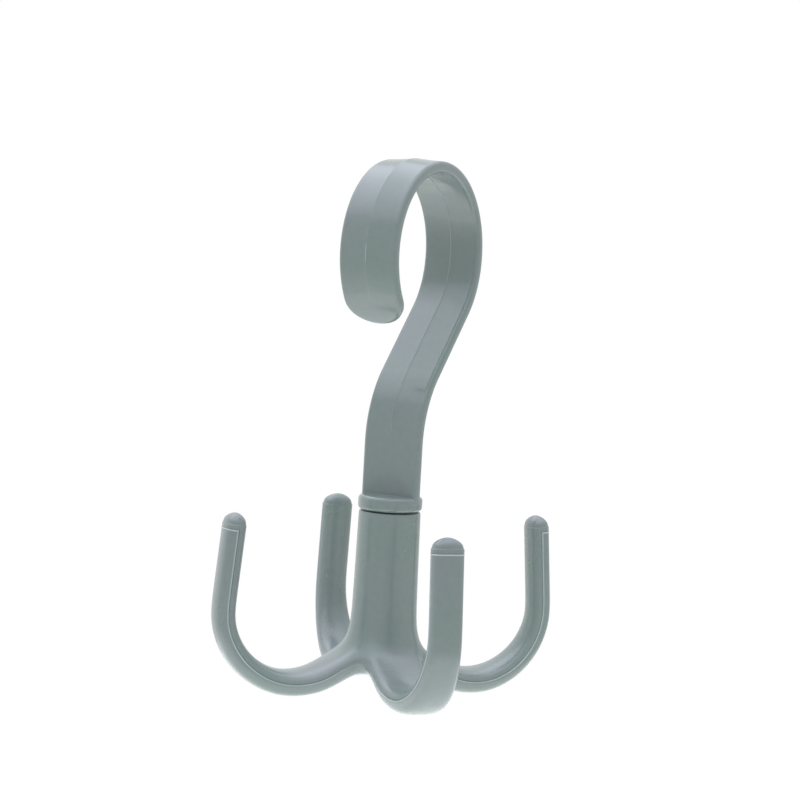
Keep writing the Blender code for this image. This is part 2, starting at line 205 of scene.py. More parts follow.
# It is cut across where it is to bend and at the fillet on the collar, and lengthwise for the ridge
stations = [stem_length]
for start, length, radius in (
    (stem_length, neck_bend_length, NECK_BEND_RADIUS),
    (eye_start, eye_length, EYE_RADIUS),
):
    steps = round(length / radius / TURN_STEP)
    stations += [start + length * i / steps for i in range(steps)]
fillet = {}
for step in range(STEM_FILLET_STEPS + 1):
    turn = math.pi / 2 * step / STEM_FILLET_STEPS
    station = collar_top - collar_middle + STEM_FILLET * (1 - math.cos(turn))
    fillet[station] = STEM_FILLET * (1 - math.sin(turn))
stations += list(fillet)
for station in stations:
    bpy.ops.mesh.select_all(action="SELECT")
    bpy.ops.mesh.bisect(plane_co=(station, 0, 0), plane_no=(1, 0, 0))
rows = {0: (OUTER_RIDGE + OUTER_BEAD, INNER_RIDGE + INNER_BEAD), BEAD_SHARE: (OUTER_RIDGE, INNER_RIDGE)}
for share in ROW_SHARES:
    left = 1 - share / ROW_SHARES[-1]
    rows[share] = (OUTER_RIDGE * left ** OUTER_RIDGE_POWER, INNER_RIDGE * left)
for share in rows:
    for across in {share * BAND_WIDTH / 2, -share * BAND_WIDTH / 2}:
        bpy.ops.mesh.select_all(action="SELECT")
        bpy.ops.mesh.bisect(plane_co=(0, across, 0), plane_no=(0, 1, 0))

# Where the mould's halves part, both faces rise to a low ridge, which fades towards the collar and the nose
OUTER_SIDE = -1
INNER_SIDE = 1
spans = {
    OUTER_SIDE: (STEM_LENGTH / 3, nose_start + NOSE_LENGTH / 2, OUTER_FADE),
    INNER_SIDE: (stem_length, nose_start, INNER_FADE),
}
for share, (outer_rise, inner_rise) in rows.items():
    for side, rise in ((OUTER_SIDE, outer_rise), (INNER_SIDE, inner_rise)):
        first, last, fade = spans[side]
        pick(hook, "VERT", lambda place: (
            place.z * side > BAND_THICKNESS / 4
            and abs(abs(place.y) - share * BAND_WIDTH / 2) < NEAR
            and first < place.x < last
        ))
        bpy.ops.transform.translate(value=(0, 0, side * rise))
for side, (first, last, fade) in spans.items():
    face_height = side * BAND_THICKNESS / 2
    for station in stations:
        run = min(station - first, last - station) / fade
        if 0 < run < 1:
            pick(hook, "VERT", lambda place: (
                abs(place.x - station) < NEAR_STATION
                and (place.z - face_height) * side > NEAR / 10
            ))
            scale_about((0, 0, face_height), z=run ** 2 * (3 - 2 * run))
bpy.ops.object.mode_set(mode="OBJECT")

# The middle line gets a painted highlight inside the eye and a short painted glint outside, and a faint
# painted highlight elsewhere
line_start = stem_length + INNER_FADE
glint_start = eye_start + EYE_RADIUS * (math.pi + NECK_LEAN + GLINT_START)
painted_highlight = hook.data.attributes.new("painted_highlight", "FLOAT", "POINT")
for vertex, highlight_paint in zip(hook.data.vertices, painted_highlight.data):
    place = vertex.co
    if abs(place.y) > NEAR or not line_start < place.x <= nose_start:
        continue
    if place.z > 0:
        highlight_paint.value = INNER_HIGHLIGHT * min(1, (place.x - line_start) / INNER_FADE)
    elif 0 < place.x - glint_start < GLINT_LENGTH:
        highlight_paint.value = INNER_HIGHLIGHT
    else:
        highlight_paint.value = OUTER_HIGHLIGHT
bpy.ops.object.mode_set(mode="EDIT")
for station, spread in fillet.items():
    pick(hook, "VERT", lambda place: abs(place.x - station) < NEAR)
    scale_about((station, 0, 0), z=1 + 2 * spread / BAND_THICKNESS)
pick(hook, "VERT", lambda place: place.x < NEAR)
scale_about((0, 0, 0), z=1 + 2 * STEM_FILLET / BAND_THICKNESS)
bpy.ops.object.mode_set(mode="OBJECT")

# Then it is bent along its path in the eye's plane, up the stem and the neck and round the eye
neck_bend_centre = Vector((rim.x + NECK_BEND_RADIUS, collar_top + STEM_LENGTH))
neck_foot = neck_bend_centre + NECK_BEND_RADIUS * Vector((-math.cos(NECK_LEAN), math.sin(NECK_LEAN)))
neck_top = neck_foot + NECK_LENGTH * Vector((math.sin(NECK_LEAN), math.cos(NECK_LEAN)))
eye_centre = neck_top + EYE_RADIUS * Vector((-math.cos(NECK_LEAN), math.sin(NECK_LEAN)))


def arc_points(centre, radius, start, end):
    """Gives places along an arc, two for each cut across the band."""
    steps = math.ceil(abs(end - start) / TURN_STEP * 2)
    turns = [start + (end - start) * i / steps for i in range(steps + 1)]
    return [centre + radius * Vector((math.cos(turn), math.sin(turn))) for turn in turns]


route = [Vector((rim.x, collar_middle))]
route += arc_points(neck_bend_centre, NECK_BEND_RADIUS, math.pi, math.pi - NECK_LEAN)
route += arc_points(eye_centre, EYE_RADIUS, -NECK_LEAN, math.pi + TIP_ANGLE)
path = bpy.data.curves.new("band_path", "CURVE")
path.dimensions = "2D"
line = path.splines.new("POLY")
line.points.add(len(route) - 1)
for point, place in zip(line.points, route):
    point.co = (place.x, place.y, 0, 1)
path_guide = bpy.data.objects.new("band_path", path)
path_guide.rotation_euler.x = math.pi / 2
bpy.context.scene.collection.objects.link(path_guide)
apply_modifier(hook, "bend", "CURVE", object=path_guide, deform_axis="POS_X")
bpy.data.objects.remove(path_guide)

# Collar, spigot and barb are turned, and the slot parts the spigot into two legs
bpy.ops.object.select_all(action="DESELECT")
bpy.ops.mesh.primitive_cylinder_add(
    vertices=COLLAR_SIDES,
    radius=COLLAR_RADIUS,
    depth=COLLAR_HEIGHT,
    location=(rim.x, 0, collar_middle),
)
collar = start_piece("collar_and_spigot")
pick(collar, "FACE", lambda place: abs(place.z - collar_middle) > COLLAR_HEIGHT / 4)
bpy.ops.mesh.region_to_loop()
bpy.ops.mesh.bevel(offset=COLLAR_EDGE_RADIUS, segments=COLLAR_EDGE_SEGMENTS, affect="EDGES")
underside = collar_middle - COLLAR_HEIGHT / 2
pick(collar, "FACE", lambda place: place.z < underside + NEAR)
bpy.ops.mesh.inset(thickness=COLLAR_RADIUS - COLLAR_EDGE_RADIUS - SPIGOT_RADIUS)
barb_top = rim.z - BARB_END_DEPTH + BARB_LENGTH
push(z=barb_top - underside)
push()
scale_about((rim.x, 0, 0), x=BARB_RADIUS / SPIGOT_RADIUS, y=BARB_RADIUS / SPIGOT_RADIUS)
push(z=-BARB_LIP)
push(z=BARB_LIP - BARB_LENGTH)
tip_share = (SPIGOT_RADIUS - BARB_LEAD_IN) / BARB_RADIUS
scale_about((rim.x, 0, 0), x=tip_share, y=tip_share)
bpy.ops.object.mode_set(mode="OBJECT")

bpy.ops.object.select_all(action="DESELECT")
slot_top = rim.z - BARB_END_DEPTH + SLOT_LENGTH
bpy.ops.mesh.primitive_cube_add(size=1, location=(rim.x, 0, slot_top - SLOT_LENGTH / 2))
bpy.ops.transform.resize(value=(SLOT_WIDTH, 3 * BARB_RADIUS, SLOT_LENGTH))
slot = start_piece("spigot_slot")
pick(slot, "VERT", lambda place: place.z < slot_top - SLOT_LENGTH / 2)
bpy.ops.transform.translate(value=(0, 0, -BARB_LIP))
pick(slot, "EDGE", lambda place: place.z > slot_top - NEAR and abs(place.x - rim.x) > SLOT_WIDTH / 4)
bpy.ops.mesh.bevel(offset=SLOT_END_RADIUS, segments=SLOT_END_SEGMENTS, affect="EDGES")
bpy.ops.object.mode_set(mode="OBJECT")

apply_modifier(hook, "join_collar", "BOOLEAN", operation="UNION", object=collar, solver="EXACT")
apply_modifier(hook, "cut_slot", "BOOLEAN", operation="DIFFERENCE", object=slot, solver="EXACT")
bpy.data.objects.remove(collar)
bpy.data.objects.remove(slot)
bpy.ops.object.select_all(action="DESELECT")
hook.select_set(True)
bpy.ops.object.shade_smooth_by_angle(angle=HOOK_CREASE)

# The plastic's own surface: clouds of a cooler and a warmer sage, streaks where a flow of the melt is
# stored, a fine grain, and a painted highlight of paler sage where the mould's halves meet
SAGE_WARM = (0.173, 0.237, 0.217, 1)
SAGE_COOL = (0.195, 0.237, 0.236, 1)
# Paler sage painted on as a highlight along the parting lines, and how far it is mixed in at most
SAGE_HIGHLIGHT = (0.44, 0.52, 0.53, 1)
HIGHLIGHT_MOST = 0.75
PLASTIC_IOR = 1.62
CLOUD_NOISE = (38, 2)
MOTTLE_NOISE = (420, 3)
MOTTLE_RANGE = (0.975, 1.025)
STREAK_NOISE = (1, 3)
STREAK_RANGE = (0.95, 1.04)
FLOW_STRETCH = (190, 190, 14)
DULL_NOISE = (70, 4)
DULL_RANGE = (1, 1.3)
GRAIN_NOISE = (1500, 2)
GRAIN_STRENGTH = 0.25
GRAIN_DEPTH = 0.01 * MM
HOOK_DULLNESS = 0.15
surface = bpy.data.node_groups.new("moulded_surface", "ShaderNodeTree")
for name, kind in (
    ("Place", "NodeSocketVector"),
    ("Flow", "NodeSocketVector"),
    ("Painted highlight", "NodeSocketFloat"),
    ("Dullness", "NodeSocketFloat"),
):
    surface.interface.new_socket(name=name, in_out="INPUT", socket_type=kind)
for name, kind in (
    ("Color", "NodeSocketColor"),
    ("Roughness", "NodeSocketFloat"),
    ("Height", "NodeSocketFloat"),
):
    surface.interface.new_socket(name=name, in_out="OUTPUT", socket_type=kind)
given = surface.nodes.new("NodeGroupInput").outputs
result = surface.nodes.new("NodeGroupOutput").inputs


def noise(source, scale_and_detail):
    """Gives a noise over the surface."""
    node = surface.nodes.new("ShaderNodeTexNoise")
    node.inputs["Scale"].default_value, node.inputs["Detail"].default_value = scale_and_detail
    surface.links.new(source, node.inputs["Vector"])
    return node.outputs["Fac"]


def spread_to(source, low, high, start=0.3, end=0.7):
    """Spreads the middle of a noise, or another range, to the range from low to high."""
    node = surface.nodes.new("ShaderNodeMapRange")
    node.inputs["From Min"].default_value = start
    node.inputs["From Max"].default_value = end
    node.inputs["To Min"].default_value = low
    node.inputs["To Max"].default_value = high
    surface.links.new(source, node.inputs["Value"])
    return node.outputs["Result"]


def multiply(first, second):
    """Multiplies two values."""
    node = surface.nodes.new("ShaderNodeMath")
    node.operation = "MULTIPLY"
    surface.links.new(first, node.inputs[0])
    surface.links.new(second, node.inputs[1])
    return node.outputs["Value"]


def mix(factor, first, second, kind="MIX"):
    """Mixes two colours; the node's colour sockets are those numbered 6 and 7, and 2 for the result."""
    node = surface.nodes.new("ShaderNodeMix")
    node.data_type = "RGBA"
    node.blend_type = kind
    for socket, value in zip((0, 6, 7), (factor, first, second)):
        if isinstance(value, (tuple, float)):
            node.inputs[socket].default_value = value
        else:
            surface.links.new(value, node.inputs[socket])
    return node.outputs[2]


clouds = spread_to(noise(given["Place"], CLOUD_NOISE), 0, 1)
streaks = spread_to(noise(given["Flow"], STREAK_NOISE), *STREAK_RANGE)
mottle = spread_to(noise(given["Place"], MOTTLE_NOISE), *MOTTLE_RANGE)
colour = mix(clouds, SAGE_WARM, SAGE_COOL)
colour = mix(1.0, colour, multiply(streaks, mottle), "MULTIPLY")
# Painted highlight: the colour is pulled towards the paler sage as far as the mesh's highlight value goes
colour = mix(spread_to(given["Painted highlight"], 0, HIGHLIGHT_MOST, 0, 1), colour, SAGE_HIGHLIGHT)
surface.links.new(colour, result["Color"])
dulling = spread_to(noise(given["Place"], DULL_NOISE), *DULL_RANGE)
surface.links.new(multiply(dulling, given["Dullness"]), result["Roughness"])
surface.links.new(noise(given["Place"], GRAIN_NOISE), result["Height"])


def moulded_plastic(name, dullness):
    """Gives a semi-gloss sage plastic, with streaks where its mesh stores a flow."""
    material = bpy.data.materials.new(name)
    material.use_nodes = True
    nodes = material.node_tree.nodes
    links = material.node_tree.links
    place = nodes.new("ShaderNodeTexCoord").outputs["Object"]
    flow = nodes.new("ShaderNodeAttribute")
    flow.attribute_name = "flow"
    stretch = nodes.new("ShaderNodeMapping")
    stretch.inputs["Scale"].default_value = FLOW_STRETCH
    links.new(flow.outputs["Vector"], stretch.inputs["Vector"])
    highlight_paint = nodes.new("ShaderNodeAttribute")
    highlight_paint.attribute_name = "painted_highlight"
    group = nodes.new("ShaderNodeGroup")
    group.node_tree = surface
    links.new(place, group.inputs["Place"])
    links.new(stretch.outputs["Vector"], group.inputs["Flow"])
    links.new(highlight_paint.outputs["Fac"], group.inputs["Painted highlight"])
    group.inputs["Dullness"].default_value = dullness
    grain = nodes.new("ShaderNodeBump")
    grain.inputs["Strength"].default_value = GRAIN_STRENGTH
    grain.inputs["Distance"].default_value = GRAIN_DEPTH
    links.new(group.outputs["Height"], grain.inputs["Height"])
    shader = nodes["Principled BSDF"]
    shader.inputs["IOR"].default_value = PLASTIC_IOR
    links.new(group.outputs["Color"], shader.inputs["Base Color"])
    links.new(group.outputs["Roughness"], shader.inputs["Roughness"])
    links.new(grain.outputs["Normal"], shader.inputs["Normal"])
    return material


hook.data.materials.append(moulded_plastic("sage_hook_plastic", HOOK_DULLNESS))
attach(hook, "hook")
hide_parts("hook")

# Claw body. One moulding of the same plastic: a socket tube that flares into a hub with four arms, each
# a U that leans back in to its domed tip. The spigot turns in its bore and snaps out into its recess.
CLAW_TURN = math.radians(49.5)
ARM_COUNT = 4
COLUMNS = 3 * ARM_COUNT
QUARTER_TURNS = [math.radians(turn) for turn in (-30, 0, 30, 60)]
SOCKET_RIM_RADIUS = 10.8 * MM
SOCKET_FOOT_RADIUS = 11.3 * MM
SOCKET_LENGTH = 36.0 * MM
SOCKET_EDGE = 1.1 * MM
FLARE_RADIUS = 11.9 * MM
FLARE_DEPTH = 42.3 * MM
CROTCH_DEPTH = 47.7 * MM
CROTCH_HEIGHT = 7.8 * MM
CROTCH_REACH_SHARE = 0.81
CROTCH_WIDTH_SHARE = 0.87
ROOT_REACH = 15.0 * MM
ROOT_WIDTH = 19.7 * MM
ROOT_TOP_DEPTH = 49.7 * MM
ROOT_SIDE_SHARE = 0.92
SOLE_DEPTH = 60.5 * MM
SOLE_REACH_SHARE = 0.79
SOLE_WIDTH_SHARE = 0.92
SOLE_MIDDLE_SHARE = 0.90
HUB_DEPTH = 56.5 * MM
HUB_FLOOR_RADIUS = 10.5 * MM
BORE_RADIUS = 6.8 * MM
BORE_CHAMFER = 0.6 * MM
RECESS_RADIUS = 8.9 * MM
SHOULDER_DEPTH = 47.5 * MM
CORNER = 0.2 * MM
CLAW_CREASE = math.radians(22)


def turn_by(angle, axis, centre):
    """Turns the selection right-handed; with no window the operator's own angle runs the other way."""
    bpy.ops.transform.rotate(value=-angle, orient_axis=axis, center_override=centre)


# The cage is modelled about the axis with its rim at zero height: first a quarter of the socket and hub,
# as rows of four corners that run down the outside and up the inside, and then one arm
bpy.ops.object.select_all(action="DESELECT")
bpy.ops.mesh.primitive_circle_add(vertices=COLUMNS, radius=1)
claws = start_piece("claw_moulding")
pick(claws, "VERT", lambda place: not any(
    (place - Vector((math.cos(turn), math.sin(turn), 0))).length < MM for turn in QUARTER_TURNS
))
bpy.ops.mesh.delete(type="VERT")
bpy.ops.mesh.select_all(action="SELECT")
cage_share = 3 / (2 + math.cos(math.tau / COLUMNS))


def round_row(radius, depth):
    """Corners of a row of the round socket, out where the smoothed surface comes to the radius."""
    return [
        Vector((math.cos(turn), math.sin(turn), 0)) * radius * cage_share - Vector((0, 0, depth))
        for turn in QUARTER_TURNS
    ]


def hub_row(reach, width, depth, middle_reach, middle_depth):
    """Corners of a row of the hub: both sides and the middle of an arm's root, and the next root's side."""
    return [
        Vector((reach, -width / 2, -depth)),
        Vector((middle_reach, 0, -middle_depth)),
        Vector((reach, width / 2, -depth)),
        Vector((width / 2, reach, -depth)),
    ]


def move_corners(piece, targets):
    """Moves the selected corners, taken in order of their turn about the axis, each to its target."""
    bpy.ops.object.mode_set(mode="OBJECT")
    mesh = piece.data
    chosen = [vertex.index for vertex in mesh.vertices if vertex.select]
    chosen.sort(key=lambda index: math.atan2(mesh.vertices[index].co.y, mesh.vertices[index].co.x))
    bpy.ops.object.mode_set(mode="EDIT")
    for index, target in zip(chosen, targets):
        bpy.ops.mesh.select_all(action="DESELECT")
        bpy.ops.object.mode_set(mode="OBJECT")
        mesh.vertices[index].select = True
        shift = target - mesh.vertices[index].co
        bpy.ops.object.mode_set(mode="EDIT")
        bpy.ops.transform.translate(value=shift)
    bpy.ops.mesh.select_all(action="DESELECT")
    bpy.ops.object.mode_set(mode="OBJECT")
    for index in chosen:
        mesh.vertices[index].select = True
    for edge in mesh.edges:
        edge.select = edge.vertices[0] in chosen and edge.vertices[1] in chosen
    bpy.ops.object.mode_set(mode="EDIT")


socket_middle_radius = (SOCKET_RIM_RADIUS + SOCKET_FOOT_RADIUS) / 2
crotch_reach = CROTCH_REACH_SHARE * ROOT_REACH
crotch_width = CROTCH_WIDTH_SHARE * ROOT_WIDTH
side_reach = ROOT_SIDE_SHARE * ROOT_REACH
side_depth = CROTCH_DEPTH + CROTCH_HEIGHT / 2
sole_reach = SOLE_REACH_SHARE * ROOT_REACH
sole_width = SOLE_WIDTH_SHARE * ROOT_WIDTH
sole_side_depth = CROTCH_DEPTH + CROTCH_HEIGHT
outside_rows = [
    round_row(SOCKET_RIM_RADIUS - SOCKET_EDGE, 0),
    round_row(SOCKET_RIM_RADIUS, 0),
    round_row(SOCKET_RIM_RADIUS, SOCKET_EDGE),
    round_row(socket_middle_radius, SOCKET_LENGTH / 2),
    round_row(SOCKET_FOOT_RADIUS, SOCKET_LENGTH),
    round_row(FLARE_RADIUS, FLARE_DEPTH),
    hub_row(crotch_reach, crotch_width, CROTCH_DEPTH, ROOT_REACH, ROOT_TOP_DEPTH),
    hub_row(side_reach, ROOT_WIDTH, side_depth, ROOT_REACH, side_depth),
    hub_row(sole_reach, sole_width, sole_side_depth, SOLE_MIDDLE_SHARE * ROOT_REACH, SOLE_DEPTH),
    round_row(HUB_FLOOR_RADIUS, HUB_DEPTH),
]
inside_rows = [
    round_row(RECESS_RADIUS + CORNER, HUB_DEPTH),
    round_row(RECESS_RADIUS, HUB_DEPTH),
    round_row(RECESS_RADIUS, HUB_DEPTH - CORNER),
    round_row(RECESS_RADIUS, SHOULDER_DEPTH + CORNER),
    round_row(RECESS_RADIUS, SHOULDER_DEPTH),
    round_row(RECESS_RADIUS - CORNER, SHOULDER_DEPTH),
    round_row(BORE_RADIUS + CORNER, SHOULDER_DEPTH),
    round_row(BORE_RADIUS, SHOULDER_DEPTH),
    round_row(BORE_RADIUS, SHOULDER_DEPTH - CORNER),
    round_row(BORE_RADIUS, SOCKET_LENGTH / 2),
    round_row(BORE_RADIUS, BORE_CHAMFER + CORNER),
    round_row(BORE_RADIUS + CORNER, BORE_CHAMFER - CORNER),
    round_row(BORE_RADIUS + BORE_CHAMFER - CORNER, CORNER),
    round_row(BORE_RADIUS + BORE_CHAMFER + CORNER, 0),
]
move_corners(claws, outside_rows[0])
for row in outside_rows[1:] + inside_rows + outside_rows[:1]:
    push()
    move_corners(claws, row)

# The faces at the arm's root come out, with the corner that is left alone in the opening
RECESS_WALL = 2 * MM
OPENING_TURN_SHARE = 0.9
OPENING_REACH_SHARE = 0.8
root_turn = math.atan2(ROOT_WIDTH / 2, side_reach)
pick(claws, "FACE", lambda place: (
    MM - SOLE_DEPTH < place.z < -CROTCH_DEPTH - MM
    and math.hypot(place.x, place.y) > RECESS_RADIUS + RECESS_WALL
    and abs(math.atan2(place.y, place.x)) < OPENING_TURN_SHARE * root_turn
    and place.x > OPENING_REACH_SHARE * ROOT_REACH
))
bpy.ops.mesh.delete(type="ONLY_FACE")
pick(claws, "VERT", lambda place: (place - Vector((ROOT_REACH, 0, -side_depth))).length < MM / 10)
bpy.ops.mesh.delete(type="VERT")
bpy.ops.mesh.select_all(action="DESELECT")
bpy.ops.object.mode_set(mode="OBJECT")

# The arm's centre line: a run down from the root, the U, and the leg that leans in to the tip. Each station
# has its reach, its height, its heading and its length from the root.
ROOT_RUN = 6.6 * MM
ARM_DEPTH = 60.3 * MM
ARM_BEND_RADIUS = 25.8 * MM
ARM_ROOT_BEND_RADIUS = 24.3 * MM
ARM_DESCENT = math.radians(27)
ARM_LEAN = math.radians(4.9)
BEND_STEPS = 8
TIP_DEPTH = 1.7 * MM
CAP_HEIGHT = 3.6 * MM
CAP_RISE = 0.35 * MM
CAP_FOOT = 0.3 * MM
PART_LINE_DROP = 4.4 * MM
LEG_SHARES = (0.25, 0.5, 0.75)
bend_reach = ROOT_REACH + ROOT_RUN + ARM_ROOT_BEND_RADIUS * math.sin(ARM_DESCENT)
root_length = ROOT_RUN + ARM_ROOT_BEND_RADIUS * ARM_DESCENT
stations = []
for share in (1, 0.5):
    angle = ARM_DESCENT * share
    reach = bend_reach - ARM_ROOT_BEND_RADIUS * math.sin(angle)
    height = ARM_ROOT_BEND_RADIUS * (1 - math.cos(angle)) - ARM_DEPTH
    stations.append((reach, height, -angle, root_length - ARM_ROOT_BEND_RADIUS * angle))
sweep = math.pi / 2 + ARM_LEAN
for i in range(BEND_STEPS + 1):
    angle = sweep * i / BEND_STEPS
    radius = ARM_BEND_RADIUS
    if 0 < i < BEND_STEPS:
        radius *= 3 / (2 + math.cos(sweep / BEND_STEPS))
    reach = bend_reach + radius * math.sin(angle)
    height = ARM_BEND_RADIUS - ARM_DEPTH - radius * math.cos(angle)
    stations.append((reach, height, angle, root_length + ARM_BEND_RADIUS * angle))
reach, height, angle, bend_end_length = stations[-1]
leg = (CAP_RISE - TIP_DEPTH - CAP_HEIGHT - height) / math.cos(ARM_LEAN)
line_rise = leg - (PART_LINE_DROP - CAP_HEIGHT)
for rise in (*(leg * share for share in LEG_SHARES), line_rise, leg - CAP_FOOT, leg):
    stations.append((
        reach - rise * math.sin(ARM_LEAN),
        height + rise * math.cos(ARM_LEAN),
        angle,
        bend_end_length + rise,
    ))

# The arm is wide at its root, tapers round the U and ends in a dome, and is pulled section by section
ARM_WIDTH = 11.3 * MM
ARM_THICKNESS = 7.7 * MM
ARM_ROOT_THICKNESS = 9.0 * MM
TAPER_TURN = math.radians(95)
CAP_SECTIONS = ((0.03, 0.945), (0.36, 0.92), (0.68, 0.73), (0.92, 0.44), (1.06, 0.15))
ARM_CORNERS = 8
SIDE_SHARE = 1.05
INNER_CORNER_SHARE = 0.84
OUTER_CORNER_SHARE = 0.90
SIDE_RISE_SHARE = 0.25
taper_length = root_length + ARM_BEND_RADIUS * TAPER_TURN
sections = []
for reach, height, heading, length in stations:
    left = max(0, 1 - length / taper_length)
    taper = left ** 2 * (3 - 2 * left)
    width = ARM_WIDTH + (ROOT_WIDTH - ARM_WIDTH) * taper
    thickness = ARM_THICKNESS + (ARM_ROOT_THICKNESS - ARM_THICKNESS) * taper
    sections.append((Vector((reach, 0, height)), heading, width, thickness))
end, heading, width, thickness = sections[-1]
leg_way = Vector((-math.sin(ARM_LEAN), 0, math.cos(ARM_LEAN)))
for rise_share, spread in CAP_SECTIONS:
    sections.append((end + rise_share * CAP_HEIGHT * leg_way, heading, width * spread, thickness * spread))

bpy.ops.mesh.primitive_circle_add(vertices=ARM_CORNERS, radius=1, rotation=(0, math.pi / 2, 0))
arm = start_piece("arm")
bpy.ops.mesh.select_all(action="SELECT")
origin = (0, 0, 0)
scale_about(origin, y=SIDE_SHARE, z=SIDE_SHARE)
diagonal = SIDE_SHARE * math.sqrt(0.5)
for side, corner_share in ((1, INNER_CORNER_SHARE), (-1, OUTER_CORNER_SHARE)):
    pick(arm, "VERT", lambda place: place.z * side > diagonal / 2 and abs(place.y) > diagonal / 2)
    scale_about(origin, y=corner_share / diagonal, z=corner_share / diagonal)
bpy.ops.mesh.select_all(action="SELECT")
centre, heading, width, thickness = sections[0]
scale_about(origin, y=width / 2, z=thickness / 2)
turn_by(-heading, "Y", origin)
bpy.ops.transform.translate(value=centre)
for section in sections[1:]:
    last_centre, last_heading, last_width, last_thickness = centre, heading, width, thickness
    centre, heading, width, thickness = section
    push()
    turn_by(last_heading, "Y", last_centre)
    scale_about(last_centre, y=width / last_width, z=thickness / last_thickness)
    turn_by(-heading, "Y", last_centre)
    bpy.ops.transform.translate(value=centre - last_centre)
bpy.ops.mesh.edge_face_add()
for (centre, heading, width, thickness), (reach, height, angle, length) in zip(sections, stations):
    bend_share = min(1, max(0, (length - root_length) / (bend_end_length - root_length)))
    rise = SIDE_RISE_SHARE * thickness / 2 * (1 - bend_share)
    pick(arm, "VERT", lambda place: (
        abs(abs(place.y) - SIDE_SHARE * width / 2) < MM / 20
        and math.hypot(place.x - centre.x, place.z - centre.z) < MM / 20
    ))
    bpy.ops.transform.translate(value=(-rise * math.sin(heading), 0, rise * math.cos(heading)))
bpy.ops.mesh.select_all(action="DESELECT")
bpy.ops.object.mode_set(mode="OBJECT")

# The arm is bridged on to its opening in the quarter, from one open edge loop to the other
OPENING_TURN = math.radians(40)
OPENING_EDGE_SHARE = 0.7
bpy.ops.object.select_all(action="DESELECT")
arm.select_set(True)
claws.select_set(True)
bpy.context.view_layer.objects.active = claws
bpy.ops.object.join()
bpy.ops.object.mode_set(mode="EDIT")
bpy.ops.mesh.select_mode(type="EDGE")
bpy.ops.mesh.select_all(action="DESELECT")
bpy.ops.mesh.select_non_manifold(extend=False)
bpy.ops.object.mode_set(mode="OBJECT")
for edge in claws.data.edges:
    ends = [claws.data.vertices[index].co for index in edge.vertices]
    edge.select = edge.select and all(
        place.z <= MM - CROTCH_DEPTH
        and place.x > OPENING_EDGE_SHARE * ROOT_REACH
        and abs(math.atan2(place.y, place.x)) < OPENING_TURN
        for place in ends
    )
bpy.ops.object.mode_set(mode="EDIT")
bpy.ops.mesh.bridge_edge_loops()
bpy.ops.object.mode_set(mode="OBJECT")


def is_outside(place):
    """Whether a place lies on the outer side of the arm's centre line, or under the hub's side line."""
    root_reach, root_height = stations[0][:2]
    if place.x < root_reach:
        share = max(0, (place.x - side_reach) / (root_reach - side_reach))
        return place.z < -side_depth + share * (root_height + side_depth)
    reach, height, heading, length = min(stations, key=lambda s: (place - Vector((s[0], 0, s[1]))).length)
    return (place.x - reach) * -math.sin(heading) + (place.z - height) * math.cos(heading) < 0


# The outer half of the mould is marked for the parting line, and the quarter is copied round and smoothed
SMOOTH_LEVELS = 3
line_height = stations[-3][1]
outer_half = claws.data.attributes.new("outer_half", "BOOLEAN", "FACE")
for face, mark in zip(claws.data.polygons, outer_half.data):
    place = face.center
    on_tip = place.z > line_height and place.x > ROOT_REACH
    mark.value = math.hypot(place.x, place.y) > RECESS_RADIUS and not on_tip and is_outside(place)
bpy.ops.object.mode_set(mode="EDIT")
bpy.ops.mesh.select_all(action="SELECT")
for index in range(ARM_COUNT - 1):
    bpy.ops.mesh.duplicate()
    turn_by(math.tau / ARM_COUNT, "Z", origin)
bpy.ops.mesh.select_all(action="SELECT")
bpy.ops.mesh.remove_doubles(threshold=NEAR)
bpy.ops.mesh.normals_make_consistent(inside=False)
turn_by(CLAW_TURN, "Z", origin)
bpy.ops.transform.translate(value=rim)
bpy.ops.object.mode_set(mode="OBJECT")
apply_modifier(claws, "smooth", "SUBSURF", levels=SMOOTH_LEVELS, render_levels=SMOOTH_LEVELS)

# The mould's halves part along the arms' sides and across the outer face under each cap: the border of the
# outer half is cut to a strip, whose middle row is the bead's crest and whose inner row is the step's foot
LINE_START = 1.2 * MM
BEAD_WIDTH = 0.32 * MM
BEAD_HEIGHT = 0.15 * MM
BEAD_STARTS = (15 * MM, 19 * MM, 23 * MM)
STEP_DEPTH = 0.18 * MM
for face, mark in zip(claws.data.polygons, claws.data.attributes["outer_half"].data):
    face.select = mark.value
bpy.ops.object.mode_set(mode="EDIT")
bpy.ops.mesh.select_mode(type="FACE")
bpy.ops.mesh.region_to_loop()
bpy.ops.object.mode_set(mode="OBJECT")
for edge in claws.data.edges:
    place = (claws.data.vertices[edge.vertices[0]].co + claws.data.vertices[edge.vertices[1]].co) / 2 - rim
    edge.select = edge.select and math.hypot(place.x, place.y) > RECESS_RADIUS + LINE_START
bpy.ops.object.mode_set(mode="EDIT")
bpy.ops.mesh.select_mode(type="EDGE")
bpy.ops.mesh.bevel(offset=BEAD_WIDTH, segments=2, affect="EDGES")
bpy.ops.mesh.select_mode(type="VERT")
bpy.ops.object.mode_set(mode="OBJECT")
strip = {vertex.index for vertex in claws.data.vertices if vertex.select}
bpy.ops.object.mode_set(mode="EDIT")
bpy.ops.mesh.select_less()
bpy.ops.object.mode_set(mode="OBJECT")
crest = {vertex.index for vertex in claws.data.vertices if vertex.select}
outer_row = set()
for face, mark in zip(claws.data.polygons, claws.data.attributes["outer_half"].data):
    if mark.value and not strip.issuperset(face.vertices):
        outer_row.update(strip.intersection(face.vertices))
foot_row = strip - crest - outer_row
